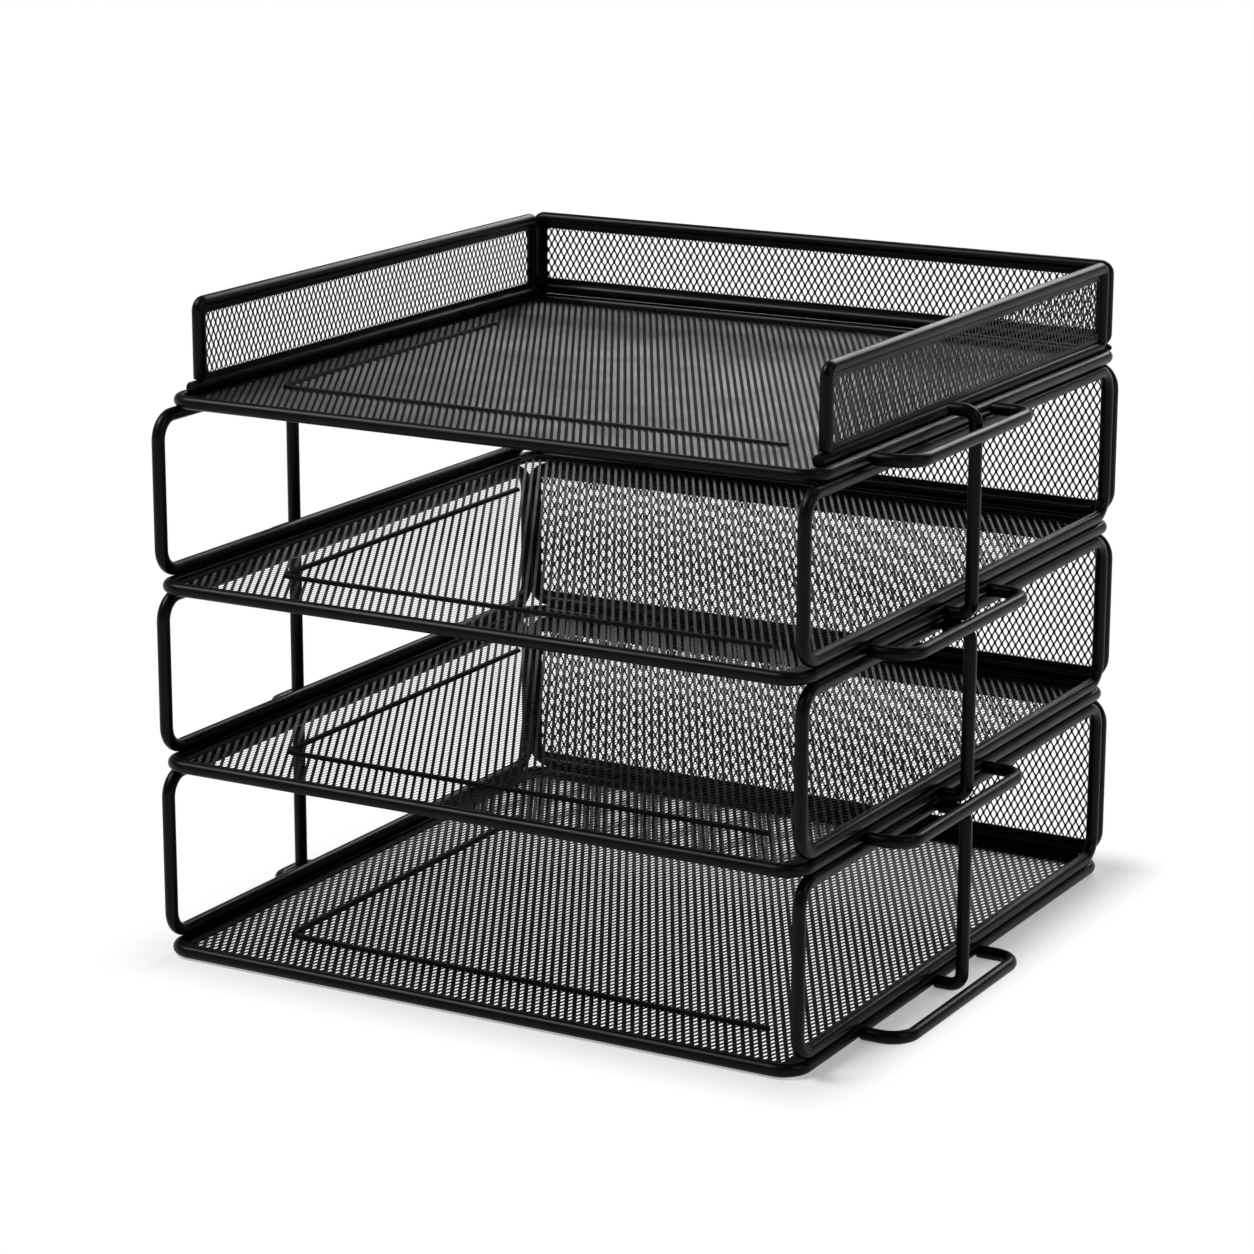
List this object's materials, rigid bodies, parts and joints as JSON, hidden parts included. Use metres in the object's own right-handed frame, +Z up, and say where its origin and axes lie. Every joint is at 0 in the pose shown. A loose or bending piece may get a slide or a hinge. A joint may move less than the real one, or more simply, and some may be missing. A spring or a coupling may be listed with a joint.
{
  "type": "stacking desk tray",
  "caption": "Stack of open-front letter trays of bent black wire and diamond mesh, with a shallow walled tray on top, for sorting paper on a desk.",
  "frame": {"origin": "on the desk, at the centre of the bottom rim", "axes": "+X right, +Y from the open front to the back, +Z up"},
  "size_m": [0.3417, 0.3116, 0.2817],
  "materials": {
    "wire": "satin black powder coat",
    "mesh": "satin black powder coat"
  },
  "bodies": {
    "bottom_tray": {"bottom_tray_floor_rim": "wire", "bottom_tray_floor_mesh": "mesh", "bottom_tray_left_side_frame": "wire", "bottom_tray_right_side_frame": "wire", "bottom_tray_back_frame": "wire", "bottom_tray_back_mesh": "mesh", "bottom_tray_left_loop": "wire", "bottom_tray_right_loop": "wire", "bottom_tray_left_post": "wire", "bottom_tray_right_post": "wire"},
    "middle_tray": {"middle_tray_floor_rim": "wire", "middle_tray_floor_mesh": "mesh", "middle_tray_left_side_frame": "wire", "middle_tray_right_side_frame": "wire", "middle_tray_back_frame": "wire", "middle_tray_back_mesh": "mesh", "middle_tray_left_loop": "wire", "middle_tray_right_loop": "wire", "middle_tray_left_post": "wire", "middle_tray_right_post": "wire"},
    "upper_tray": {"upper_tray_floor_rim": "wire", "upper_tray_floor_mesh": "mesh", "upper_tray_left_side_frame": "wire", "upper_tray_right_side_frame": "wire", "upper_tray_back_frame": "wire", "upper_tray_back_mesh": "mesh", "upper_tray_left_loop": "wire", "upper_tray_right_loop": "wire", "upper_tray_left_post": "wire", "upper_tray_right_post": "wire"},
    "top_tray": {"top_tray_floor_rim": "wire", "top_tray_floor_mesh": "mesh", "top_tray_left_wall_frame": "wire", "top_tray_right_wall_frame": "wire", "top_tray_back_wall_frame": "wire", "top_tray_left_wall_mesh": "mesh", "top_tray_right_wall_mesh": "mesh", "top_tray_back_wall_mesh": "mesh", "top_tray_left_loop": "wire", "top_tray_right_loop": "wire"}
  },
  "joints": [
    {"name": "middle_tray_lift", "type": "slide", "parent": "bottom_tray", "child": "middle_tray", "axis": [0, 0, 1], "range_m": [0, 0.06]},
    {"name": "upper_tray_lift", "type": "slide", "parent": "middle_tray", "child": "upper_tray", "axis": [0, 0, 1], "range_m": [0, 0.06]},
    {"name": "top_tray_lift", "type": "slide", "parent": "upper_tray", "child": "top_tray", "axis": [0, 0, 1], "range_m": [0, 0.06]}
  ]
}
